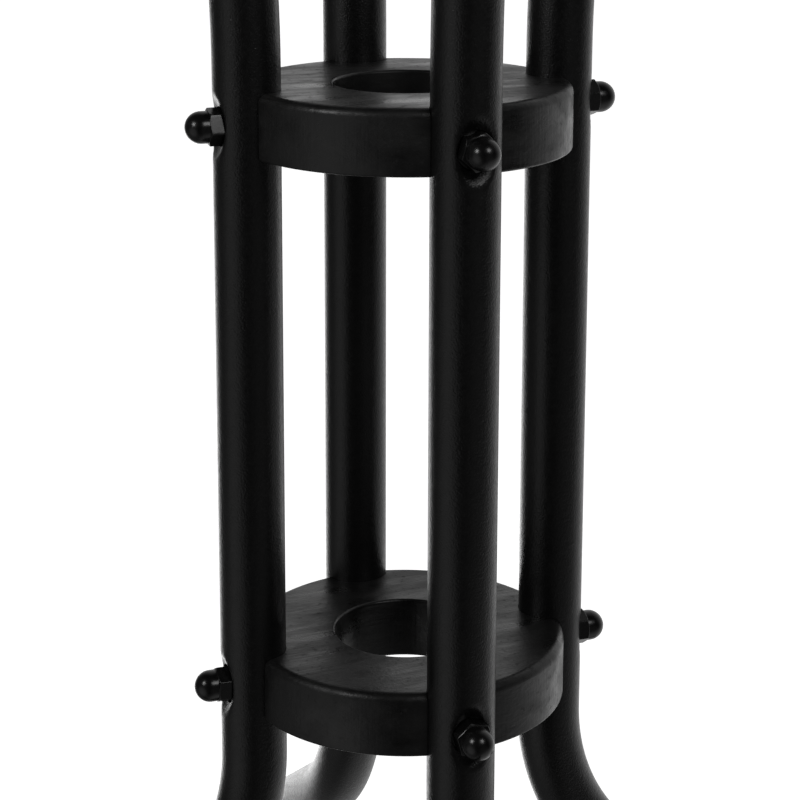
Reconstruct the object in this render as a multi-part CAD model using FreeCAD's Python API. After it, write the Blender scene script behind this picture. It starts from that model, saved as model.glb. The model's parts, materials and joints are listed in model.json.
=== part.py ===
import FreeCAD, Part
import math
import os

# Umbrella stand. Four bent steel tubes stand round three wooden rings, and a screw with a
# domed cap nut pulls each tube into its notch in each ring.
# Millimetres, +Z up. The origin is on the floor, on the stand's centre axis.

V = FreeCAD.Vector
UP = V(0, 0, 1)
CENTRE = V(0, 0, 0)
SAME = 0.01

# Tubes
TUBE_R = 13.1
TUBE_WALL = 1.5
BORE_R = TUBE_R - TUBE_WALL
LEG_CIRCLE_R = 64.3
FOOT_BEND_R = 94.0
FOOT_TILT = 57.0
FOOT_STRAIGHT = 82.8
FOOT_END_Z = 12.5
FLARE_R = 600.0
FLARE_TILT = 22.0
LEG_TURNS = {"front": -90.0, "right": 0.0, "back": 90.0, "left": 180.0}

# Waist rings: the legs' axes lie almost on the rings' rims
RING_R = 64.75
RING_HOLE_R = 28.65
RING_THICK = 25.3
RING_SPACING = 225.9
RING_TOP_ROUND = 3.5
RING_BOTTOM_ROUND = 1.0
RING_HOLE_ROUND = 1.2
RING_ABOVE_BEND = 44.0
FLARE_ABOVE_RING = 7.4
NOTCH_CLEARANCE = 0.1

# Top ring
TOP_RING_THICK = 22.0
TOP_RING_WOOD = 17.0
TOP_RING_BELOW_END = 25.0

# Press dent in the outer side of the tube, measured outwards from the tube's axis
DENT_FLOOR = 9.3
DENT_R = 22.0
SEAT_FLOOR = 7.6
SEAT_R = 7.7

# M8 fastenings
BOLT_R = 4.0
BOLT_HOLE_R = 4.3
WOOD_THREAD_R = 3.8
WOOD_THREAD_LENGTH = 20.0
TOP_WOOD_THREAD_LENGTH = 13.0
THREAD_TIP = 4.0
BOLT_IN_NUT = 10.0
BOLT_END_CHAMFER = 1.0
WASHER_R = 7.5
WASHER_HOLE_R = 4.2
WASHER_THICK = 1.6
WASHER_CHAMFER = 0.4
NUT_FLATS = 13.0
NUT_HEX_HEIGHT = 6.5
NUT_HEIGHT = 15.0
NUT_DOME_R = 6.25
NUT_BORE_DEPTH = 11.5
NUT_CHAMFER_SLOPE = 30.0

# How far each screw sits above the ring's middle, in the order of LEG_TURNS
LOWER_SCREW_RISES = (-0.8, 2.1, 0.0, -0.8)
UPPER_SCREW_RISES = (-1.4, 2.2, 0.0, -1.0)

# How far each nut has turned when tight, in the order of LEG_TURNS
LOWER_NUT_TURNS = (14.0, -7.0, 25.0, -2.0)
UPPER_NUT_TURNS = (-14.0, 8.0, 21.0, 17.0)
TOP_NUT_TURNS = (5.0, 19.0, 27.0, 11.0)

# Plastic plugs in the tubes' top ends and rubber feet in their lower ends
PLUG_SPIGOT_R = BORE_R - 0.1
PLUG_SPIGOT_LENGTH = 12.0
PLUG_RIM = 1.5
PLUG_DOME = 4.0
FOOT_HEAD = 10.0
FOOT_TOE_ROUND = 2.5
FOOT_SPIGOT_LENGTH = 18.0

# Heights and radii that follow from the numbers above
tilt = math.radians(FOOT_TILT)
bend_end_z = FOOT_END_Z + FOOT_STRAIGHT * math.cos(tilt)
bend_end_r = LEG_CIRCLE_R + FOOT_BEND_R * (1 - math.cos(tilt))
bend_top_z = bend_end_z + FOOT_BEND_R * math.sin(tilt)
foot_end_r = bend_end_r + FOOT_STRAIGHT * math.sin(tilt)
lower_ring_top = bend_top_z + RING_ABOVE_BEND
upper_ring_top = lower_ring_top + RING_SPACING
flare_start_z = upper_ring_top + FLARE_ABOVE_RING
flare_tilt = math.radians(FLARE_TILT)
leg_end_z = flare_start_z + FLARE_R * math.sin(flare_tilt)
leg_end_r = LEG_CIRCLE_R + FLARE_R * (1 - math.cos(flare_tilt))
top_ring_mid = leg_end_z - TOP_RING_BELOW_END


def lean_at(z):
    """How far the tube leans out at height z on the flare, in radians."""
    return math.asin((z - flare_start_z) / FLARE_R)


def flare_radius(z):
    """Distance from the stand's axis to the tube's axis at height z on the flare."""
    return LEG_CIRCLE_R + FLARE_R * (1 - math.cos(lean_at(z)))


# A joint is a point on the tube's axis and the outward direction of its screw.
# Every leg is drawn pointing along +X and turned into place.
def waist_joint(ring_top, rise):
    return V(LEG_CIRCLE_R, 0, ring_top - RING_THICK / 2 + rise), V(1, 0, 0)


def top_joint():
    """Square to the leaning tube, and level with the ring's middle where it enters the wood."""
    z = top_ring_mid
    z -= TUBE_R * math.sin(lean_at(z))
    lean = lean_at(z)
    return V(flare_radius(z), 0, z), V(math.cos(lean), 0, -math.sin(lean))


# One joint for each leg, in the order of LEG_TURNS
LOWER_JOINTS = [waist_joint(lower_ring_top, rise) for rise in LOWER_SCREW_RISES]
UPPER_JOINTS = [waist_joint(upper_ring_top, rise) for rise in UPPER_SCREW_RISES]
TOP_JOINTS = [top_joint() for side in LEG_TURNS]


def placed(shape, joint):
    """Move a shape drawn along +Z from the origin to the joint, with +Z along its screw."""
    point, outward = joint
    moved = shape.copy()
    moved.Placement = FreeCAD.Placement(point, FreeCAD.Rotation(UP, outward)).multiply(moved.Placement)
    return moved


def turned(shape, degrees):
    moved = shape.copy()
    moved.rotate(CENTRE, UP, degrees)
    return moved


def lathe(points):
    """Solid of revolution about +Z from a closed outline of (radius, height) points."""
    outline = [V(r, 0, z) for r, z in points]
    face = Part.Face(Part.makePolygon(outline + outline[:1]))
    return face.revolve(CENTRE, UP, 360)


def leg_rod(radius):
    """Solid rod along the leg's centre line: splayed foot, bend, straight waist, flare."""
    foot_end = V(foot_end_r, 0, FOOT_END_Z)
    foot_dir = V(-math.sin(tilt), 0, math.cos(tilt))
    foot = Part.makeCylinder(radius, FOOT_STRAIGHT, foot_end, foot_dir)
    waist_foot = V(LEG_CIRCLE_R, 0, bend_top_z)
    bend_disc = Part.Face(Part.Wire(Part.makeCircle(radius, waist_foot, UP)))
    bend = bend_disc.revolve(waist_foot + V(FOOT_BEND_R, 0, 0), V(0, 1, 0), -FOOT_TILT)
    waist = Part.makeCylinder(radius, flare_start_z - bend_top_z, waist_foot, UP)
    waist_head = V(LEG_CIRCLE_R, 0, flare_start_z)
    flare_disc = Part.Face(Part.Wire(Part.makeCircle(radius, waist_head, UP)))
    flare = flare_disc.revolve(waist_head + V(FLARE_R, 0, 0), V(0, 1, 0), FLARE_TILT)
    return foot.fuse([bend, waist, flare]).removeSplitter()


def dent(joint, growth):
    """Round-bottomed dent with a flat washer seat, grown outwards by a wall thickness."""
    bowl = Part.makeSphere(DENT_R + growth, V(0, 0, DENT_FLOOR + DENT_R))
    seat = Part.makeCylinder(SEAT_R + growth, TUBE_R, V(0, 0, SEAT_FLOOR - growth))
    return placed(bowl.fuse(seat), joint)


def bolt_hole(joint):
    return placed(Part.makeCylinder(BOLT_HOLE_R, 4 * TUBE_R, V(0, 0, -2 * TUBE_R)), joint)


def leg(joints):
    """Steel tube with a pressed dent and a cross hole at each joint."""
    outside = leg_rod(TUBE_R)
    tube = outside.cut(leg_rod(BORE_R))
    for joint in joints:
        pushed_in_wall = dent(joint, TUBE_WALL).common(outside)
        tube = tube.fuse(pushed_in_wall).cut(dent(joint, 0)).cut(bolt_hole(joint))
    return tube.removeSplitter()


def hanger_bolt(thread_length):
    """Wood screw at the inner end, machine thread at the nut's end, drawn along +Z."""
    wood_end = -TUBE_R
    nut_end = SEAT_FLOOR + WASHER_THICK + BOLT_IN_NUT
    return lathe([
        (0, wood_end - thread_length),
        (WOOD_THREAD_R, wood_end - thread_length + THREAD_TIP),
        (WOOD_THREAD_R, wood_end),
        (BOLT_R, wood_end),
        (BOLT_R, nut_end - BOLT_END_CHAMFER),
        (BOLT_R - BOLT_END_CHAMFER, nut_end),
        (0, nut_end),
    ])


def washer():
    base = SEAT_FLOOR
    top = base + WASHER_THICK
    return lathe([
        (WASHER_HOLE_R, base),
        (WASHER_R, base),
        (WASHER_R, top - WASHER_CHAMFER),
        (WASHER_R - WASHER_CHAMFER, top),
        (WASHER_HOLE_R, top),
    ])


def cap_nut():
    """Domed cap nut: chamfered hexagon, short collar, hemisphere, blind hole."""
    base = SEAT_FLOOR + WASHER_THICK
    corner_r = NUT_FLATS / math.sqrt(3)
    corners = []
    for side in range(6):
        angle = math.radians(60 * side)
        corners.append(V(corner_r * math.cos(angle), corner_r * math.sin(angle), base))
    hexagon = Part.Face(Part.makePolygon(corners + corners[:1])).extrude(UP * NUT_HEX_HEIGHT)
    drop = (corner_r - NUT_FLATS / 2) * math.tan(math.radians(NUT_CHAMFER_SLOPE))
    chamfered = lathe([
        (0, base),
        (NUT_FLATS / 2, base),
        (corner_r, base + drop),
        (corner_r, base + NUT_HEX_HEIGHT - drop),
        (NUT_FLATS / 2, base + NUT_HEX_HEIGHT),
        (0, base + NUT_HEX_HEIGHT),
    ])
    dome_centre = base + NUT_HEIGHT - NUT_DOME_R
    collar = Part.makeCylinder(NUT_DOME_R, dome_centre - base, V(0, 0, base))
    dome = Part.makeSphere(NUT_DOME_R, V(0, 0, dome_centre))
    bore = Part.makeCylinder(BOLT_R, NUT_BORE_DEPTH, V(0, 0, base))
    return hexagon.common(chamfered).fuse([collar, dome]).cut(bore).removeSplitter()


def around(shape, joints, turns=(0, 0, 0, 0)):
    """One copy of a fastening at each leg, as a group of separate solids."""
    copies = []
    for leg_turn, joint, own_turn in zip(LEG_TURNS.values(), joints, turns):
        copies.append(turned(placed(turned(shape, own_turn), joint), leg_turn))
    return Part.makeCompound(copies)


def circle_edges(shape, radius, z):
    """The full circle of a given radius at height z, to round it."""
    found = []
    for edge in shape.Edges:
        is_circle = isinstance(edge.Curve, Part.Circle) and len(edge.Vertexes) == 1
        if is_circle and abs(edge.Curve.Radius - radius) < SAME and abs(edge.Curve.Center.z - z) < SAME:
            found.append(edge)
    return found


def ring(outer_r, hole_r, thick, top_z, bolts):
    """Wooden ring with rounded edges, notched for the legs and drilled for the screws."""
    bottom_z = top_z - thick
    blank = Part.makeCylinder(outer_r, thick, V(0, 0, bottom_z))
    blank = blank.cut(Part.makeCylinder(hole_r, thick, V(0, 0, bottom_z)))
    blank = blank.makeFillet(RING_TOP_ROUND, circle_edges(blank, outer_r, top_z))
    blank = blank.makeFillet(RING_BOTTOM_ROUND, circle_edges(blank, outer_r, bottom_z))
    for z in (bottom_z, top_z):
        blank = blank.makeFillet(RING_HOLE_ROUND, circle_edges(blank, hole_r, z))
    notch = leg_rod(TUBE_R + NOTCH_CLEARANCE)
    blank = blank.cut([turned(notch, turn) for turn in LEG_TURNS.values()])
    return blank.cut(bolts.Solids)


def tube_plug():
    """Domed plug that closes the top end of a tube."""
    head = Part.makeCylinder(TUBE_R, PLUG_RIM + PLUG_DOME)
    dome_r = (TUBE_R ** 2 + PLUG_DOME ** 2) / (2 * PLUG_DOME)
    dome = Part.makeSphere(dome_r, V(0, 0, PLUG_RIM + PLUG_DOME - dome_r))
    spigot = Part.makeCylinder(PLUG_SPIGOT_R, PLUG_SPIGOT_LENGTH, V(0, 0, -PLUG_SPIGOT_LENGTH))
    lean_out = V(math.sin(flare_tilt), 0, math.cos(flare_tilt))
    return placed(head.common(dome).fuse(spigot), (V(leg_end_r, 0, leg_end_z), lean_out))


def rubber_foot():
    """Rubber foot pushed into the tube's lower end, trimmed flat where it meets the floor."""
    head = Part.makeCylinder(TUBE_R, FOOT_HEAD)
    head = head.makeFillet(FOOT_TOE_ROUND, circle_edges(head, TUBE_R, FOOT_HEAD))
    spigot = Part.makeCylinder(PLUG_SPIGOT_R, FOOT_SPIGOT_LENGTH, V(0, 0, -FOOT_SPIGOT_LENGTH))
    splay = V(math.sin(tilt), 0, -math.cos(tilt))
    foot = placed(head.fuse(spigot), (V(foot_end_r, 0, FOOT_END_Z), splay))
    reach = 4 * FOOT_HEAD
    below_floor = Part.makeBox(reach, reach, reach, V(foot_end_r - reach / 2, -reach / 2, -reach))
    return foot.cut(below_floor)


def save(name, shape):
    shape.exportStep("parts/%s.step" % name)


os.makedirs("parts", exist_ok=True)

one_plug = tube_plug()
one_foot = rubber_foot()
leg_joints = zip(LOWER_JOINTS, UPPER_JOINTS, TOP_JOINTS)
for (side, turn), joints in zip(LEG_TURNS.items(), leg_joints):
    save("%s_leg" % side, turned(leg(joints), turn))
    save("%s_leg_top_plug" % side, turned(one_plug, turn))
    save("%s_rubber_foot" % side, turned(one_foot, turn))

long_bolt = hanger_bolt(WOOD_THREAD_LENGTH)
short_bolt = hanger_bolt(TOP_WOOD_THREAD_LENGTH)
lower_bolts = around(long_bolt, LOWER_JOINTS)
upper_bolts = around(long_bolt, UPPER_JOINTS)
top_bolts = around(short_bolt, TOP_JOINTS)

top_ring_r = flare_radius(top_ring_mid)
top_hole_r = top_ring_r - TUBE_R - TOP_RING_WOOD
top_ring_top = top_ring_mid + TOP_RING_THICK / 2
save("lower_ring", ring(RING_R, RING_HOLE_R, RING_THICK, lower_ring_top, lower_bolts))
save("upper_ring", ring(RING_R, RING_HOLE_R, RING_THICK, upper_ring_top, upper_bolts))
save("top_ring", ring(top_ring_r, top_hole_r, TOP_RING_THICK, top_ring_top, top_bolts))

save("lower_ring_hanger_bolts", lower_bolts)
save("upper_ring_hanger_bolts", upper_bolts)
save("top_ring_hanger_bolts", top_bolts)
save("lower_ring_washers", around(washer(), LOWER_JOINTS))
save("upper_ring_washers", around(washer(), UPPER_JOINTS))
save("top_ring_washers", around(washer(), TOP_JOINTS))
save("lower_ring_cap_nuts", around(cap_nut(), LOWER_JOINTS, LOWER_NUT_TURNS))
save("upper_ring_cap_nuts", around(cap_nut(), UPPER_JOINTS, UPPER_NUT_TURNS))
save("top_ring_cap_nuts", around(cap_nut(), TOP_JOINTS, TOP_NUT_TURNS))
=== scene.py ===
import json
import math

import bmesh
import bpy
from mathutils import Matrix, Vector


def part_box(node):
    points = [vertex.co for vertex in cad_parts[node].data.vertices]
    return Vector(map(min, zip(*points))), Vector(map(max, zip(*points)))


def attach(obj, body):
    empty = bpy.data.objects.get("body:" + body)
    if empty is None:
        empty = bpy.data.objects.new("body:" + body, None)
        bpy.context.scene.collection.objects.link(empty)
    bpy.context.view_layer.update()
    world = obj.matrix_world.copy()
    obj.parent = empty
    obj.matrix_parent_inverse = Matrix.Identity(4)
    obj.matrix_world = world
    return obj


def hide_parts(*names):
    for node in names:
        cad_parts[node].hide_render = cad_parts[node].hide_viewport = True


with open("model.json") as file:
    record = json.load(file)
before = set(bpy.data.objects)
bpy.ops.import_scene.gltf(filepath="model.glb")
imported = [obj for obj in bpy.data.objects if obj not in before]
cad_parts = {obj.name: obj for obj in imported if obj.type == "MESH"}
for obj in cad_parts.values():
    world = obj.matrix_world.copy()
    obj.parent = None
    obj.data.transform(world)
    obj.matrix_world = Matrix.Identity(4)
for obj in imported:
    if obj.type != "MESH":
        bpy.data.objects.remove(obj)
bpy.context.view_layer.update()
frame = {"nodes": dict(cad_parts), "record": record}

# Umbrella stand: bent steel tubes round three wooden rings, each tube held to each ring by a
# screw with a domed cap nut. Metres, +Z up, origin on the floor on the stand's centre axis.

MM = 0.001
SCENE = bpy.context.scene

# ---------------------------------------------------------------- sizes

TUBE_R = 13.1 * MM
TUBE_WALL = 1.5 * MM
BORE_R = TUBE_R - TUBE_WALL
FOOT_TILT = math.radians(57)
FOOT_BEND_R = 94 * MM
FLARE_TILT = math.radians(22)
FLARE_R = 600 * MM
LEG_TURNS = {"front": -90, "right": 0, "back": 90, "left": 180}

# The leg that points along +X gives the centre line of all four
LEG_LOW, LEG_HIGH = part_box("right_leg")
leg_circle_r = LEG_LOW.x + TUBE_R
foot_end_x = LEG_HIGH.x - TUBE_R * math.cos(FOOT_TILT)
foot_end_z = LEG_LOW.z + TUBE_R * math.sin(FOOT_TILT)
leg_end_z = LEG_HIGH.z - TUBE_R * math.sin(FLARE_TILT)
foot_run = foot_end_x - leg_circle_r - FOOT_BEND_R * (1 - math.cos(FOOT_TILT))
foot_straight = foot_run / math.sin(FOOT_TILT)
bend_length = FOOT_BEND_R * FOOT_TILT
bend_top_z = foot_end_z + foot_straight * math.cos(FOOT_TILT) + FOOT_BEND_R * math.sin(FOOT_TILT)
flare_start_z = leg_end_z - FLARE_R * math.sin(FLARE_TILT)
waist_start = foot_straight + bend_length
flare_start = waist_start + flare_start_z - bend_top_z
leg_length = flare_start + FLARE_R * FLARE_TILT

# Rings
RING_R = 64.75 * MM
TOP_ROUND = 3.5 * MM
BOTTOM_ROUND = 1.0 * MM
HOLE_ROUND = 1.2 * MM
NOTCH_CLEARANCE = 0.1 * MM
NOTCH_R = TUBE_R + NOTCH_CLEARANCE
NOTCH_EDGE_ROUND = 0.4 * MM
RING_SEGMENTS = 288
MOUNTS = {mount["name"]: mount for mount in frame["record"]["mounts"]}
ring_hole_r = MOUNTS["upper_ring_hole"]["dims"]["r_mm"] * MM
# Wood between the legs' inner sides and the hole of the top ring
TOP_RING_WOOD = 17 * MM

# Press dent, measured outwards from the tube's axis, and the flat seat of the washer in it
DENT_FLOOR = 9.3 * MM
DENT_R = 22 * MM
DENT_LIP = 1.0 * MM
SEAT_FLOOR = 7.6 * MM

# M8 fastenings
WASHER_R = 7.5 * MM
WASHER_HOLE_R = 4.2 * MM
WASHER_THICK = 1.6 * MM
WASHER_EDGE_ROUND = 0.35 * MM
WASHER_SEGMENTS = 96
NUT_FLATS = 13.0 * MM
NUT_HEX_HEIGHT = 6.5 * MM
NUT_HEIGHT = 15.0 * MM
NUT_DOME_R = 6.25 * MM
NUT_BORE_R = 4.0 * MM
NUT_BORE_DEPTH = 11.5 * MM
NUT_CORNER_ROUND = 0.5 * MM
NUT_CHAMFER = math.radians(30)
NUT_FACE_INSET = 0.15 * MM
NUT_EDGE = 0.12 * MM
NUT_COLLAR_INSET = 0.05 * MM
NUT_CREASE = 0.25 * MM
# The dome's rings stop at this angle in degrees, and a small flat tip closes it
NUT_DOME_END = 86

# Each leg's own screws, in the order of LEG_TURNS: heights above the ring's middle in mm, and
# how far each nut has turned in degrees
SCREW_RISES = {
    "lower": (-0.8, 2.1, 0, -0.8),
    "upper": (-1.4, 2.2, 0, -1.0),
    "top": (0, 0, 0, 0),
}
NUT_TURNS = {
    "lower": (14, -7, 25, -2),
    "upper": (-14, 8, 21, 17),
    "top": (5, 19, 27, 11),
}

# ---------------------------------------------------------------- the leg's centre line


def leg_point(s):
    """Point on the centre line at length s from the foot end, and the way out of the tube there."""
    if s < foot_straight:
        out = Vector((math.cos(FOOT_TILT), 0, math.sin(FOOT_TILT)))
        along = Vector((-math.sin(FOOT_TILT), 0, math.cos(FOOT_TILT)))
        return Vector((foot_end_x, 0, foot_end_z)) + along * s, out
    if s < waist_start:
        angle = FOOT_TILT - (s - foot_straight) / FOOT_BEND_R
        out = Vector((math.cos(angle), 0, math.sin(angle)))
        return Vector((leg_circle_r + FOOT_BEND_R, 0, bend_top_z)) - out * FOOT_BEND_R, out
    if s < flare_start:
        return Vector((leg_circle_r, 0, bend_top_z + s - waist_start)), Vector((1, 0, 0))
    angle = (s - flare_start) / FLARE_R
    out = Vector((math.cos(angle), 0, -math.sin(angle)))
    return Vector((leg_circle_r + FLARE_R, 0, flare_start_z)) - out * FLARE_R, out


def middle_height(node):
    low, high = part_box(node)
    return (low.z + high.z) / 2


def waist_place(z):
    """Length along the leg of a height on its straight waist."""
    return waist_start + z - bend_top_z


def flare_place(z):
    """Length along the leg of a height on its flare."""
    return flare_start + FLARE_R * math.asin((z - flare_start_z) / FLARE_R)


def top_screw_place():
    """The top screw is square to the leaning tube and enters the wood at the ring's middle."""
    z = middle_height("top_ring")
    lean = math.asin((z - flare_start_z) / FLARE_R)
    return flare_place(z - TUBE_R * math.sin(lean))


RING_PLACES = {
    "lower": waist_place(middle_height("lower_ring")),
    "upper": waist_place(middle_height("upper_ring")),
    "top": top_screw_place(),
}


def screw_places(level):
    """Where the ring's four screws are along their legs."""
    return [RING_PLACES[level] + rise * MM for rise in SCREW_RISES[level]]


def screw_frame(place):
    """Matrix that puts +Z along a screw of the leg that points along +X."""
    point, out = leg_point(place)
    side = Vector((0, 1, 0))
    across = side.cross(out)
    return Matrix.Translation(point) @ Matrix((across, side, out)).transposed().to_4x4()


def z_turn(degrees):
    return Matrix.Rotation(math.radians(degrees), 4, "Z")


# ---------------------------------------------------------------- mesh helpers

# Points closer than this are one point
MERGE_GAP = 0.001 * MM


def make_object(name, verts, faces, smooth_angle=35):
    """A mesh object with outward faces, smooth apart from the edges sharper than smooth_angle."""
    mesh = bpy.data.meshes.new(name)
    mesh.from_pydata([tuple(v) for v in verts], [], faces)
    return finish_object(name, mesh, smooth_angle)


def finish_object(name, mesh, smooth_angle):
    bm = bmesh.new()
    bm.from_mesh(mesh)
    bmesh.ops.remove_doubles(bm, verts=bm.verts, dist=MERGE_GAP)
    bmesh.ops.recalc_face_normals(bm, faces=bm.faces)
    bm.to_mesh(mesh)
    bm.free()
    mesh.shade_smooth()
    mesh.set_sharp_from_angle(angle=math.radians(smooth_angle))
    piece = bpy.data.objects.new(name, mesh)
    SCENE.collection.objects.link(piece)
    return piece


def add_weighted_normals(piece):
    modifier = piece.modifiers.new("flat faces stay flat", "WEIGHTED_NORMAL")
    modifier.keep_sharp = True
    modifier.weight = 80


def claim(piece, node, material):
    """The piece stands for a CAD node: it rides with the stand, takes the given material, and the
    node is hidden.
    """
    piece.data.materials.clear()
    piece.data.materials.append(material)
    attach(piece, "root")
    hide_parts(node)


def arc(centre, radius, start, end, steps):
    """Points of an arc in the (radius, height) plane, angles in degrees."""
    points = []
    for i in range(steps + 1):
        angle = math.radians(start + (end - start) * i / steps)
        points.append((centre[0] + radius * math.cos(angle), centre[1] + radius * math.sin(angle)))
    return points


def lathe(outline, segments):
    """Verts and faces of a closed outline of (radius, height) turned about +Z."""
    verts = []
    for i in range(segments):
        angle = 2 * math.pi * i / segments
        verts += [Vector((r * math.cos(angle), r * math.sin(angle), z)) for r, z in outline]
    count = len(outline)
    faces = []
    for i in range(segments):
        here = i * count
        there = (i + 1) % segments * count
        for j in range(count):
            k = (j + 1) % count
            faces.append((here + j, there + j, there + k, here + k))
    return verts, faces


def merged(parts):
    """Verts and faces of several (verts, faces) parts as one."""
    verts = []
    faces = []
    for part_verts, part_faces in parts:
        start = len(verts)
        verts += part_verts
        faces += [tuple(start + i for i in face) for face in part_faces]
    return verts, faces


def moved(part, matrix):
    """Verts and faces of a part, put in place by a matrix."""
    verts, faces = part
    return [matrix @ v for v in verts], faces


def around(part, level, turns=(0, 0, 0, 0)):
    """One copy of a fastening at each leg of a ring."""
    copies = []
    for degrees, place, own_turn in zip(LEG_TURNS.values(), screw_places(level), turns):
        copies.append(moved(part, z_turn(degrees) @ screw_frame(place) @ z_turn(own_turn)))
    return merged(copies)


# ---------------------------------------------------------------- tubes

# A tube is a grid of rows and columns. Round each screw a square patch of it is bent into circles:
# the cells that are equally far from the screw make a loop.
COLUMNS = 96
CELL = 2 * math.pi * TUBE_R / COLUMNS
# The loops at the hole's edge and at the seat's edge, the last full circle and the patch's edge
HOLE_LOOP = 5
SEAT_LOOP = 10
ROUND_LOOP = 12
PATCH = 20
# Radius of some loops in mm: the hole's edge, the washer seat and its wall, the dent and the edge
# of the patch. Those between them are evenly spaced.
LOOP_RADII = {
    0: 0, HOLE_LOOP: 4.3, 9: 7.3, SEAT_LOOP: 7.6, 11: 7.7, ROUND_LOOP: 8.2, 13: 9.0, 14: 9.9,
    PATCH: PATCH * CELL / MM,
}
# Up to this distance from a screw the patch is measured straight across the tube, not round it
STRAIGHT_REACH = 9.5 * MM
# Across the tube, the wall is parallel to the screw up to the first distance and radial from the
# second on
PARALLEL_WALL = 4.5 * MM
RADIAL_WALL = 9 * MM
# Distance between rows on the foot's tight bend and elsewhere
BEND_STEP = 3 * MM
PLAIN_STEP = 8 * MM


def smooth_step(low, high, value):
    t = min(max((value - low) / (high - low), 0), 1)
    return t * t * (3 - 2 * t)


def loop_radius(loop):
    knots = sorted(LOOP_RADII)
    low, high = next((a, b) for a, b in zip(knots, knots[1:]) if loop <= b)
    t = (loop - low) / (high - low)
    return (LOOP_RADII[low] * (1 - t) + LOOP_RADII[high] * t) * MM


def patch_warp(rows, columns):
    """Bends square grid loops round a screw into circles. Returns the shifts along and around."""
    loop = max(abs(rows), abs(columns))
    if loop == 0 or loop >= PATCH:
        return 0, 0
    reach = math.hypot(rows, columns)
    radius = loop_radius(loop)
    along = radius * rows / reach
    around_tube = radius * columns / reach
    near = max(-STRAIGHT_REACH, min(STRAIGHT_REACH, around_tube))
    angle = around_tube / TUBE_R + math.asin(near / TUBE_R) - near / TUBE_R
    weight = 1 - smooth_step(ROUND_LOOP, PATCH, loop)
    return weight * (along - rows * CELL), weight * (angle - columns * CELL / TUBE_R)


def smooth_min(a, b, blend):
    """The smaller of two values, with a rounded change from one to the other."""
    h = min(max(0.5 + 0.5 * (b - a) / blend, 0), 1)
    return b * (1 - h) + a * h - blend * h * (1 - h)


def outer_height(along, across, seat):
    """How far the tube's outer face stands out from its axis, near a screw."""
    tube = math.sqrt(max(TUBE_R ** 2 - across ** 2, 0))
    if seat:
        return min(tube, SEAT_FLOOR)
    reach = math.hypot(along, across)
    if reach >= DENT_R:
        return tube
    cup = DENT_FLOOR + DENT_R - math.sqrt(DENT_R ** 2 - reach ** 2)
    return smooth_min(tube, cup, DENT_LIP)


def leg_rows(screws):
    """Grid rows along a leg: (place, place of the screw or None, rows from the screw)."""
    rows = []
    stops = [0.0, foot_straight, waist_start, flare_start, leg_length]
    for screw in screws:
        stops += [screw - PATCH * CELL, screw + PATCH * CELL]
    stops.sort()
    for low, high in zip(stops, stops[1:]):
        screw = next((at for at in screws if abs(at - PATCH * CELL - low) < CELL / 2), None)
        if screw:
            rows += [(low + i * CELL, screw, i - PATCH) for i in range(2 * PATCH)]
            continue
        on_bend = foot_straight <= low < waist_start
        step = BEND_STEP if on_bend else PLAIN_STEP
        count = max(1, round((high - low) / step))
        rows += [(low + (high - low) * i / count, None, 0) for i in range(count)]
    rows.append((leg_length, None, 0))
    return rows


def tube_point(place, angle, screw, back, seat, inner):
    """A point of the tube's outer or inner face."""
    centre, out = leg_point(place)
    across = TUBE_R * math.sin(angle)
    if screw and not back:
        height = outer_height(place - screw, across, seat)
    else:
        height = TUBE_R * math.cos(angle)
    if inner:
        squeeze = (1 - BORE_R / TUBE_R) * smooth_step(PARALLEL_WALL, RADIAL_WALL, abs(across))
        across *= 1 - squeeze
        bore = math.sqrt(max(BORE_R ** 2 - across ** 2, 0))
        if back:
            height = -bore
        elif screw:
            height = min(bore, height - TUBE_WALL)
        else:
            height = bore
    return centre + out * height + Vector((0, across, 0))


def tube_mesh(screws):
    """Steel tube with pressed dents, washer seats and bolt holes, as one closed wall."""
    rows = leg_rows(screws)
    half = COLUMNS // 2
    verts = []
    for inner in (False, True):
        for place, screw, row in rows:
            for column in range(COLUMNS):
                signed = column if column <= half else column - COLUMNS
                back = abs(signed) > COLUMNS // 4
                from_screw = signed
                if back:
                    from_screw = column - half
                shift = turn = 0
                if screw:
                    shift, turn = patch_warp(row, from_screw)
                angle = signed * CELL / TUBE_R + turn
                seat = bool(screw) and not back and max(abs(row), abs(from_screw)) <= SEAT_LOOP
                verts.append(tube_point(place + shift, angle, screw, back, seat, inner))
    count = len(rows)
    # The inner face's points come this far after the outer face's
    skin = count * COLUMNS

    def hole(i, j):
        """Whether the cell at row i and column j lies inside a bolt hole."""
        _, own_screw, rows_away = rows[i]
        if not own_screw:
            return False
        row = rows_away + 0.5
        column = min(abs(j + 0.5 - shift) for shift in (0, half, COLUMNS))
        return max(abs(row), column) < HOLE_LOOP

    faces = []
    for i in range(count - 1):
        for j in range(COLUMNS):
            if hole(i, j):
                continue
            k = (j + 1) % COLUMNS
            quad = (i * COLUMNS + j, i * COLUMNS + k, (i + 1) * COLUMNS + k, (i + 1) * COLUMNS + j)
            faces.append(quad)
            faces.append(tuple(skin + v for v in reversed(quad)))
    for i in (0, count - 1):
        for j in range(COLUMNS):
            k = (j + 1) % COLUMNS
            low = i * COLUMNS
            faces.append((low + j, skin + low + j, skin + low + k, low + k))
    faces += hole_walls(faces, skin)
    return drop_loose(verts, faces)


def hole_walls(faces, skin):
    """Walls of the bolt holes: along outer edges that only one quad has, but not at the ends."""
    used = {}
    for face in faces:
        if max(face) >= skin:
            continue
        for a, b in zip(face, face[1:] + face[:1]):
            used.setdefault(frozenset((a, b)), []).append((a, b))
    walls = []
    for pairs in used.values():
        if len(pairs) > 1:
            continue
        a, b = pairs[0]
        on_end_rim = max(a, b) < COLUMNS or min(a, b) >= skin - COLUMNS
        if not on_end_rim:
            walls.append((b, a, skin + a, skin + b))
    return walls


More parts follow.
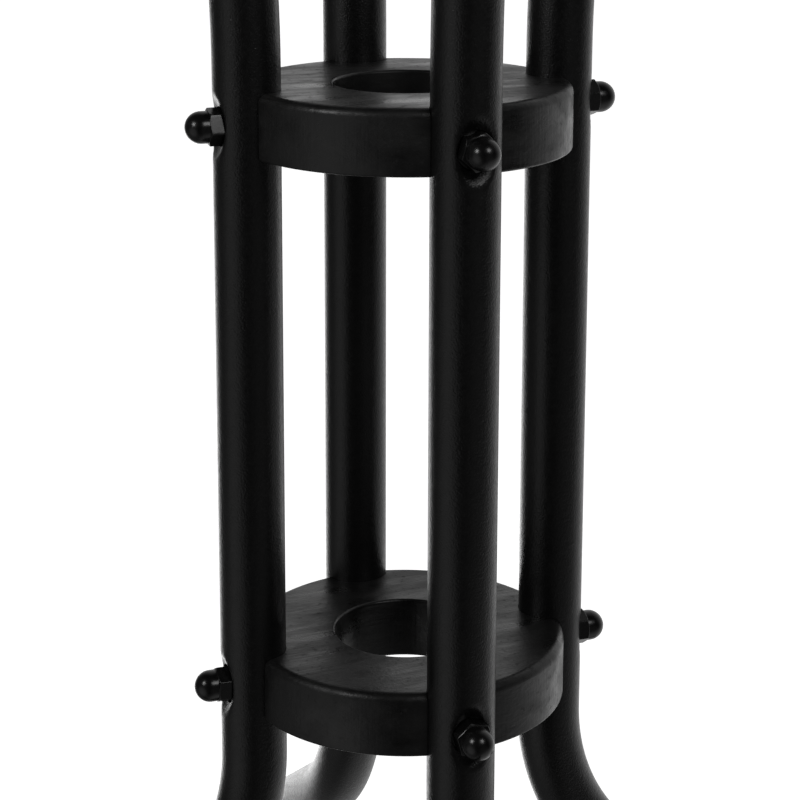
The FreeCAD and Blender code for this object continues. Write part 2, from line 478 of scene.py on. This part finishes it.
def drop_loose(verts, faces):
    """Leaves out the grid points that no face uses."""
    used = sorted({v for face in faces for v in face})
    order = {v: i for i, v in enumerate(used)}
    return [verts[v] for v in used], [tuple(order[v] for v in face) for face in faces]


# ---------------------------------------------------------------- rings

ROD_STEP = 4 * MM
# After the cut, points closer than this are merged
SLIVER = 0.01 * MM
# Edges sharper than this are rounded after the cut
NOTCH_EDGE_ANGLE = math.radians(28)


def notch_rod(low, high):
    """Rod along the leg's centre line that cuts one notch."""
    steps = max(1, round((high - low) / ROD_STEP))
    verts = []
    for i in range(steps + 1):
        centre, out = leg_point(low + (high - low) * i / steps)
        for j in range(COLUMNS):
            angle = 2 * math.pi * j / COLUMNS
            side = Vector((0, NOTCH_R * math.sin(angle), 0))
            verts.append(centre + out * NOTCH_R * math.cos(angle) + side)
    low_end = tuple(reversed(range(COLUMNS)))
    high_end = tuple(steps * COLUMNS + j for j in range(COLUMNS))
    faces = [low_end, high_end]
    for i in range(steps):
        for j in range(COLUMNS):
            k = (j + 1) % COLUMNS
            low_row, high_row = i * COLUMNS, (i + 1) * COLUMNS
            faces.append((low_row + j, low_row + k, high_row + k, high_row + j))
    return verts, faces


def ring_outline(outer_r, hole_r, bottom, top):
    """Cross-section of a ring: soft upper rim, crisper lower rim, small round at the hole."""
    lip = HOLE_ROUND
    return (
        arc((outer_r - BOTTOM_ROUND, bottom + BOTTOM_ROUND), BOTTOM_ROUND, -90, 0, 4)
        + arc((outer_r - TOP_ROUND, top - TOP_ROUND), TOP_ROUND, 0, 90, 8)
        + arc((hole_r + lip, top - lip), lip, 90, 180, 4)
        + arc((hole_r + lip, bottom + lip), lip, 180, 270, 4)
    )


def make_ring(name, level, outer_r, hole_r):
    """Wooden ring, notched for the four tubes, with the notches' edges softened."""
    low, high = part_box(level + "_ring")
    outline = ring_outline(outer_r, hole_r, low.z, high.z)
    blank = make_object(name, *lathe(outline, RING_SEGMENTS))
    reach = high.z - low.z
    rod = notch_rod(RING_PLACES[level] - reach, RING_PLACES[level] + reach)
    cutter = make_object("cutter", *merged([moved(rod, z_turn(t)) for t in LEG_TURNS.values()]))
    cut = blank.modifiers.new("notches", "BOOLEAN")
    cut.operation = "DIFFERENCE"
    cut.solver = "EXACT"
    cut.object = cutter
    bpy.context.view_layer.update()
    graph = bpy.context.evaluated_depsgraph_get()
    mesh = bpy.data.meshes.new_from_object(blank.evaluated_get(graph))
    bpy.data.objects.remove(blank)
    bpy.data.objects.remove(cutter)
    soften_notches(mesh)
    piece = finish_object(name, mesh, smooth_angle=30)
    add_weighted_normals(piece)
    return piece


def soften_notches(mesh):
    """Rounds the edges that the notches left."""
    bm = bmesh.new()
    bm.from_mesh(mesh)
    bmesh.ops.remove_doubles(bm, verts=bm.verts, dist=SLIVER)
    bmesh.ops.dissolve_degenerate(bm, edges=bm.edges, dist=SLIVER)
    sharp = [
        e for e in bm.edges
        if len(e.link_faces) == 2 and e.calc_face_angle() > NOTCH_EDGE_ANGLE
    ]
    bmesh.ops.bevel(
        bm, geom=sharp, offset=NOTCH_EDGE_ROUND, offset_type="OFFSET", segments=3,
        profile=0.5, affect="EDGES", clamp_overlap=True,
    )
    bm.to_mesh(mesh)
    bm.free()


# ---------------------------------------------------------------- fastenings


def washer():
    """Flat washer with a rounded outer edge."""
    base = SEAT_FLOOR
    top = base + WASHER_THICK
    edge = WASHER_EDGE_ROUND
    return lathe(
        [(WASHER_HOLE_R, base)]
        + arc((WASHER_R - edge, base + edge), edge, -90, 0, 3)
        + arc((WASHER_R - edge, top - edge), edge, 0, 90, 3)
        + [(WASHER_HOLE_R, top)],
        WASHER_SEGMENTS,
    )


def hexagon_points(per_side=12, per_corner=5):
    """Directions and radii of a hexagon with slightly rounded corners, corner at angle zero."""
    half_side = math.radians(30)
    corner_r = NUT_FLATS / 2 / math.cos(half_side)
    inset = NUT_CORNER_ROUND / math.cos(half_side)
    points = []
    for side in range(6):
        corner = math.radians(60 * side)
        centre = Vector((math.cos(corner), math.sin(corner))) * (corner_r - inset)
        for i in range(per_corner + 1):
            angle = corner + math.radians(-30 + 60 * i / per_corner)
            points.append(centre + Vector((math.cos(angle), math.sin(angle))) * NUT_CORNER_ROUND)
        start = points[-1]
        following = math.radians(60 * (side + 1))
        next_centre = Vector((math.cos(following), math.sin(following))) * (corner_r - inset)
        flat = math.radians(60 * side + 30)
        end = next_centre + Vector((math.cos(flat), math.sin(flat))) * NUT_CORNER_ROUND
        points += [start.lerp(end, i / per_side) for i in range(1, per_side)]
    return points


def cap_nut():
    """Domed cap nut: chamfered hexagon, short collar, hemisphere, blind hole."""
    base = SEAT_FLOOR + WASHER_THICK
    top = base + NUT_HEX_HEIGHT
    crown = base + NUT_HEIGHT
    edge = NUT_EDGE
    face_r = NUT_FLATS / 2 - NUT_FACE_INSET
    collar_r = NUT_DOME_R - NUT_COLLAR_INSET
    dome_centre = crown - NUT_DOME_R
    outline = hexagon_points()
    columns = []
    for point in outline:
        reach = point.length
        way = point / reach
        drop = (reach - face_r) * math.tan(NUT_CHAMFER)
        ring = [(NUT_BORE_R, base), (face_r - edge, base), (face_r, base + edge / 3)]
        ring += [(reach - edge, base + drop - edge / 2), (reach, base + drop + edge)]
        ring += [(reach, top - drop - edge), (reach - edge, top - drop + edge / 2)]
        ring += [(face_r, top - edge / 3), (face_r - edge, top)]
        ring += [(collar_r, top - NUT_CREASE), (NUT_DOME_R, top + NUT_CREASE)]
        ring += arc((0, dome_centre), NUT_DOME_R, 0, NUT_DOME_END, 18)
        columns.append([Vector((way.x * r, way.y * r, z)) for r, z in ring])
    count = len(columns[0])
    verts = [v for column in columns for v in column]
    faces = []
    for i in range(len(columns)):
        here = i * count
        there = (i + 1) % len(columns) * count
        for j in range(count - 1):
            faces.append((here + j, there + j, there + j + 1, here + j + 1))
    faces.append(tuple(i * count + count - 1 for i in range(len(columns))))
    bore_base = len(verts)
    for point in outline:
        way = point.normalized()
        verts.append(Vector((way.x * NUT_BORE_R, way.y * NUT_BORE_R, base + NUT_BORE_DEPTH)))
    for i in range(len(columns)):
        k = (i + 1) % len(columns)
        faces.append((k * count, i * count, bore_base + i, bore_base + k))
    faces.append(tuple(bore_base + i for i in range(len(columns))))
    return verts, faces


# ---------------------------------------------------------------- materials

# Most values of a noise texture lie between these
NOISE_LOW = 0.3
NOISE_HIGH = 0.7
# Turn of the texture position about +Z, so that the rings' grain runs a little off the X axis
GRAIN_TURN = math.radians(-5)


def new_material(name):
    """A material with its nodes, its links and its shader."""
    material = bpy.data.materials.new(name)
    material.use_nodes = True
    nodes = material.node_tree.nodes
    links = material.node_tree.links
    return material, nodes, links, nodes["Principled BSDF"]


def object_coordinates(nodes, links, scale=(1, 1, 1), turn=0):
    """Texture position in metres of the rest shape, turned about +Z and scaled per axis."""
    place = nodes.new("ShaderNodeTexCoord")
    mapping = nodes.new("ShaderNodeMapping")
    mapping.inputs["Scale"].default_value = scale
    rotate = nodes.new("ShaderNodeVectorRotate")
    rotate.rotation_type = "Z_AXIS"
    rotate.inputs["Angle"].default_value = turn
    links.new(place.outputs["Object"], rotate.inputs["Vector"])
    links.new(rotate.outputs["Vector"], mapping.inputs["Vector"])
    return mapping.outputs["Vector"]


def noise(nodes, links, vector, scale, detail=2, roughness=0.5):
    texture = nodes.new("ShaderNodeTexNoise")
    texture.inputs["Scale"].default_value = scale
    texture.inputs["Detail"].default_value = detail
    texture.inputs["Roughness"].default_value = roughness
    links.new(vector, texture.inputs["Vector"])
    return texture.outputs["Fac"]


def spread(nodes, links, value, low, high, start=NOISE_LOW, end=NOISE_HIGH):
    """Stretches a texture value from start..end to low..high."""
    stretch = nodes.new("ShaderNodeMapRange")
    stretch.inputs["From Min"].default_value = start
    stretch.inputs["From Max"].default_value = end
    stretch.inputs["To Min"].default_value = low
    stretch.inputs["To Max"].default_value = high
    links.new(value, stretch.inputs["Value"])
    return stretch.outputs["Result"]


def tint(nodes, links, value, dark, light):
    """Colour between dark and light greys, chosen by a texture value."""
    ramp = nodes.new("ShaderNodeValToRGB")
    ramp.color_ramp.elements[0].position = NOISE_LOW
    ramp.color_ramp.elements[0].color = (*dark, 1)
    ramp.color_ramp.elements[1].position = NOISE_HIGH
    ramp.color_ramp.elements[1].color = (*light, 1)
    links.new(value, ramp.inputs["Fac"])
    return ramp.outputs["Color"]


def bumps(nodes, links, shader, layers):
    """Bumps on top of each other: each layer is (height texture, height in metres)."""
    normal = None
    for height, distance in layers:
        bump = nodes.new("ShaderNodeBump")
        bump.inputs["Strength"].default_value = 1
        bump.inputs["Distance"].default_value = distance
        links.new(height, bump.inputs["Height"])
        if normal:
            links.new(normal, bump.inputs["Normal"])
        normal = bump.outputs["Normal"]
    links.new(normal, shader.inputs["Normal"])


def powder_coat():
    """Black powder coat on steel: satin, with a pebbly orange peel."""
    material, nodes, links, shader = new_material("tube_powder_coat")
    place = object_coordinates(nodes, links)
    waves = noise(nodes, links, place, 550, 2, 0.5)
    peel = noise(nodes, links, place, 1500, 1, 0.5)
    patches = noise(nodes, links, place, 60, 3, 0.6)
    colour = tint(nodes, links, patches, (0.0030, 0.0030, 0.0032), (0.0046, 0.0045, 0.0044))
    links.new(colour, shader.inputs["Base Color"])
    links.new(spread(nodes, links, waves, 0.29, 0.38), shader.inputs["Roughness"])
    bumps(nodes, links, shader, [(waves, 0.07 * MM), (peel, 0.15 * MM)])
    return material


def painted_wood():
    """Black satin paint that lets the grain of the wood and the brush marks show through."""
    material, nodes, links, shader = new_material("ring_painted_wood")
    grain_place = object_coordinates(nodes, links, (22, 420, 420), GRAIN_TURN)
    grain = noise(nodes, links, grain_place, 1, 3, 0.6)
    pore_place = object_coordinates(nodes, links, (60, 1300, 1300), GRAIN_TURN)
    pores = noise(nodes, links, pore_place, 1, 2, 0.6)
    upright_place = object_coordinates(nodes, links, (700, 700, 40))
    brush_marks = noise(nodes, links, upright_place, 1, 2, 0.55)
    plain = object_coordinates(nodes, links)
    smudges = noise(nodes, links, plain, 70, 4, 0.65)
    smear_place = object_coordinates(nodes, links, (16, 50, 50), GRAIN_TURN)
    smears = noise(nodes, links, smear_place, 1, 4, 0.65)
    specks = noise(nodes, links, plain, 420, 2, 0.6)
    colour = tint(nodes, links, smudges, (0.0045, 0.0045, 0.0047), (0.0115, 0.0112, 0.0108))
    links.new(colour, shader.inputs["Base Color"])
    gloss = nodes.new("ShaderNodeMath")
    gloss.operation = "ADD"
    links.new(spread(nodes, links, smears, 0.26, 0.52, 0.38, 0.62), gloss.inputs[0])
    links.new(spread(nodes, links, specks, 0.0, 0.14, 0.6, 0.7), gloss.inputs[1])
    links.new(gloss.outputs["Value"], shader.inputs["Roughness"])
    layers = [
        (smears, 0.22 * MM),
        (grain, 0.10 * MM),
        (pores, 0.05 * MM),
        (brush_marks, 0.06 * MM),
        (specks, 0.05 * MM),
    ]
    bumps(nodes, links, shader, layers)
    return material


def black_fastener():
    """Blackened steel of the nuts, washers and screws: semi-gloss with slight mottling."""
    material, nodes, links, shader = new_material("fastener_black_steel")
    place = object_coordinates(nodes, links)
    mottle = noise(nodes, links, place, 500, 3, 0.6)
    fine = noise(nodes, links, place, 3500, 2, 0.5)
    colour = tint(nodes, links, mottle, (0.0045, 0.0045, 0.0047), (0.0075, 0.0073, 0.0072))
    links.new(colour, shader.inputs["Base Color"])
    links.new(spread(nodes, links, mottle, 0.20, 0.28), shader.inputs["Roughness"])
    bumps(nodes, links, shader, [(mottle, 0.012 * MM), (fine, 0.003 * MM)])
    return material


def plug_plastic():
    """Moulded black plastic with a fine matt texture."""
    material, nodes, links, shader = new_material("plug_plastic")
    place = object_coordinates(nodes, links)
    texture = noise(nodes, links, place, 3000, 2, 0.6)
    cloud = noise(nodes, links, place, 90, 2, 0.5)
    colour = tint(nodes, links, cloud, (0.008, 0.008, 0.0082), (0.011, 0.011, 0.0108))
    links.new(colour, shader.inputs["Base Color"])
    links.new(spread(nodes, links, cloud, 0.48, 0.58), shader.inputs["Roughness"])
    bumps(nodes, links, shader, [(texture, 0.02 * MM)])
    return material


def foot_rubber():
    """Black rubber, matt and slightly dusty."""
    material, nodes, links, shader = new_material("foot_rubber")
    place = object_coordinates(nodes, links)
    dust = noise(nodes, links, place, 120, 4, 0.65)
    skin = noise(nodes, links, place, 2200, 2, 0.6)
    colour = tint(nodes, links, dust, (0.012, 0.012, 0.012), (0.022, 0.0215, 0.021))
    links.new(colour, shader.inputs["Base Color"])
    links.new(spread(nodes, links, dust, 0.62, 0.78), shader.inputs["Roughness"])
    bumps(nodes, links, shader, [(skin, 0.03 * MM)])
    return material


# ---------------------------------------------------------------- the stand

POWDER = powder_coat()
WOOD = painted_wood()
STEEL = black_fastener()
PLASTIC = plug_plastic()
RUBBER = foot_rubber()


def build_legs():
    screws = zip(*(screw_places(level) for level in RING_PLACES))
    for (side, turn), leg_screws in zip(LEG_TURNS.items(), screws):
        part = moved(tube_mesh(leg_screws), z_turn(turn))
        leg = make_object(side + "_leg_tube", *part, smooth_angle=50)
        claim(leg, side + "_leg", POWDER)


def build_rings():
    waist_rings = {"lower": "lower_ring", "upper": "upper_ring"}
    for level, node in waist_rings.items():
        piece = make_ring(node + "_wood", level, RING_R, ring_hole_r)
        claim(piece, node, WOOD)
    lean_point, _ = leg_point(flare_place(middle_height("top_ring")))
    top = make_ring("top_ring_wood", "top", lean_point.x, lean_point.x - TUBE_R - TOP_RING_WOOD)
    claim(top, "top_ring", WOOD)


def build_fastenings():
    for level, turns in NUT_TURNS.items():
        washers = make_object(level + "_ring_washer_set", *around(washer(), level))
        claim(washers, level + "_ring_washers", STEEL)
        nut_set = around(cap_nut(), level, turns)
        nuts = make_object(level + "_ring_cap_nut_set", *nut_set, smooth_angle=24)
        claim(nuts, level + "_ring_cap_nuts", STEEL)


def finish_carried_nodes():
    """CAD nodes whose shape is right keep it and take a finished material."""
    finishes = {"hanger_bolts": STEEL, "top_plug": PLASTIC, "rubber_foot": RUBBER}
    for name, node in frame["nodes"].items():
        for ending, material in finishes.items():
            if name.endswith(ending):
                node.data.materials.clear()
                node.data.materials.append(material)


build_legs()
build_rings()
build_fastenings()
finish_carried_nodes()

# ---------------------------------------------------------------- studio

# Camera: metres, with the lens in mm and the shift as a part of the picture's width
CAMERA_TURN = math.radians(19.54)
CAMERA_DISTANCE = 0.8267
CAMERA_ABOVE_RING = 0.1303
CAMERA_DOWN = math.radians(11.62)
CAMERA_YAW = math.radians(0.17)
CAMERA_ROLL = math.radians(0.13)
CAMERA_LENS = 96.94
CAMERA_SHIFT = -0.2736

WHITE = 1.15
ROOM = 0.02
# The floor lies this far under the soles, so that the two faces do not coincide
FLOOR_GAP = 0.1 * MM
# Brighter parts of the studio: angle to the right of the camera's view ahead and height of each,
# the cosines between which it fades in, and its brightness
LOBES = {
    "backdrop": (22, 0.0, 0.12, 1.25, 1.10),
    "backdrop_middle": (20, -0.2, 0.82, 1.0, 0.25),
    "sweep": (-22, -0.42, 0.92, 1.0, 3.2),
    "left_panel": (-127, -0.4, 0.80, 1.0, 0.40),
    "left_wall": (-95, -0.2, 0.2, 0.9, 0.05),
    "right_panel": (143, -0.3, 0.80, 1.0, 0.08),
    "right_floor": (80, -1.6, 0.6, 1.0, 0.45),
    "floor_glow": (0, -3.0, 0.1, 0.7, 0.09),
}
# Square lights: angle to the right of the view ahead, elevation, distance, size and power in watts
SOFTBOXES = {
    "left_softbox": (232, 26, 1.4, 0.4, 4.0),
    "right_softbox": (144, 33, 1.5, 0.5, 3.6),
}
FLOOR_R = 8
FLOOR_COLOUR = (0.9, 0.9, 0.9, 1)
FLOOR_GLOW = 0.9


def camera_way(turn, height=0):
    """Horizontal direction from the stand at an angle to the right of the camera's view ahead."""
    angle = math.pi / 2 - CAMERA_TURN - turn
    return Vector((math.cos(angle), math.sin(angle), height))


def build_camera():
    data = bpy.data.cameras.new("camera")
    data.lens = CAMERA_LENS
    data.sensor_width = 36
    data.shift_y = CAMERA_SHIFT
    camera = bpy.data.objects.new("camera", data)
    _, ring_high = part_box("upper_ring")
    camera.location = camera_way(0) * -CAMERA_DISTANCE
    camera.location.z = ring_high.z + CAMERA_ABOVE_RING
    turn = Matrix.Rotation(-CAMERA_TURN + CAMERA_YAW, 4, "Z")
    tip = Matrix.Rotation(math.pi / 2 - CAMERA_DOWN, 4, "X")
    roll = Matrix.Rotation(CAMERA_ROLL, 4, "Z")
    camera.rotation_euler = (turn @ tip @ roll).to_euler()
    SCENE.collection.objects.link(camera)
    SCENE.camera = camera


def lobe(nodes, links, place, toward, start, end, brightness):
    """Brightness that rises towards one direction of the surroundings."""
    cosine = nodes.new("ShaderNodeVectorMath")
    cosine.operation = "DOT_PRODUCT"
    cosine.inputs[1].default_value = toward
    fade = nodes.new("ShaderNodeMapRange")
    fade.interpolation_type = "SMOOTHSTEP"
    fade.inputs["From Min"].default_value = start
    fade.inputs["From Max"].default_value = end
    fade.inputs["To Max"].default_value = brightness
    links.new(place, cosine.inputs[0])
    links.new(cosine.outputs["Value"], fade.inputs["Value"])
    return fade.outputs["Result"]


def build_world():
    """White studio: bright behind the stand, dim round the camera. The camera sees plain white."""
    world = bpy.data.worlds.new("studio")
    SCENE.world = world
    world.use_nodes = True
    nodes = world.node_tree.nodes
    links = world.node_tree.links
    nodes.clear()
    place = nodes.new("ShaderNodeTexCoord")
    total = None
    for turn, height, start, end, brightness in LOBES.values():
        toward = camera_way(math.radians(turn), height).normalized()
        light = lobe(nodes, links, place.outputs["Generated"], toward, start, end, brightness)
        add = nodes.new("ShaderNodeMath")
        add.inputs[0].default_value = ROOM
        if total:
            links.new(total, add.inputs[0])
        links.new(light, add.inputs[1])
        total = add.outputs["Value"]
    lighting = nodes.new("ShaderNodeBackground")
    backdrop = nodes.new("ShaderNodeBackground")
    backdrop.inputs["Strength"].default_value = WHITE
    backdrop.inputs["Color"].default_value = (1, 1, 1, 1)
    seen = nodes.new("ShaderNodeLightPath")
    choose = nodes.new("ShaderNodeMixShader")
    out = nodes.new("ShaderNodeOutputWorld")
    links.new(total, lighting.inputs["Strength"])
    links.new(seen.outputs["Is Camera Ray"], choose.inputs["Fac"])
    links.new(lighting.outputs["Background"], choose.inputs[1])
    links.new(backdrop.outputs["Background"], choose.inputs[2])
    links.new(choose.outputs["Shader"], out.inputs["Surface"])


def add_softbox(name, turn, elevation, distance, size, watts):
    """Area light aimed at the middle of the upper ring."""
    data = bpy.data.lights.new(name, "AREA")
    data.shape = "RECTANGLE"
    data.size = size
    data.size_y = size
    data.energy = watts
    light = bpy.data.objects.new(name, data)
    aim = Vector((0, 0, middle_height("upper_ring")))
    way = camera_way(turn) * math.cos(elevation)
    way.z = math.sin(elevation)
    light.location = aim + way * distance
    light.rotation_euler = way.to_track_quat("Z", "Y").to_euler()
    light.visible_camera = False
    SCENE.collection.objects.link(light)


def build_lights():
    for name, (turn, elevation, distance, size, watts) in SOFTBOXES.items():
        add_softbox(name, math.radians(turn), math.radians(elevation), distance, size, watts)


def build_floor():
    """Pale round floor. It is left out of reflections and bounced light: the world gives those."""
    bm = bmesh.new()
    bmesh.ops.create_circle(bm, cap_ends=True, segments=128, radius=FLOOR_R)
    mesh = bpy.data.meshes.new("floor")
    bm.to_mesh(mesh)
    bm.free()
    floor = bpy.data.objects.new("floor", mesh)
    floor.location.z = -FLOOR_GAP
    SCENE.collection.objects.link(floor)
    floor.visible_glossy = False
    floor.visible_diffuse = False
    material, _, _, shader = new_material("studio_floor")
    shader.inputs["Base Color"].default_value = FLOOR_COLOUR
    shader.inputs["Roughness"].default_value = 0.6
    shader.inputs["Emission Color"].default_value = (1, 1, 1, 1)
    shader.inputs["Emission Strength"].default_value = FLOOR_GLOW
    mesh.materials.append(material)


build_camera()
build_world()
build_lights()
build_floor()
SCENE.view_settings.view_transform = "Standard"
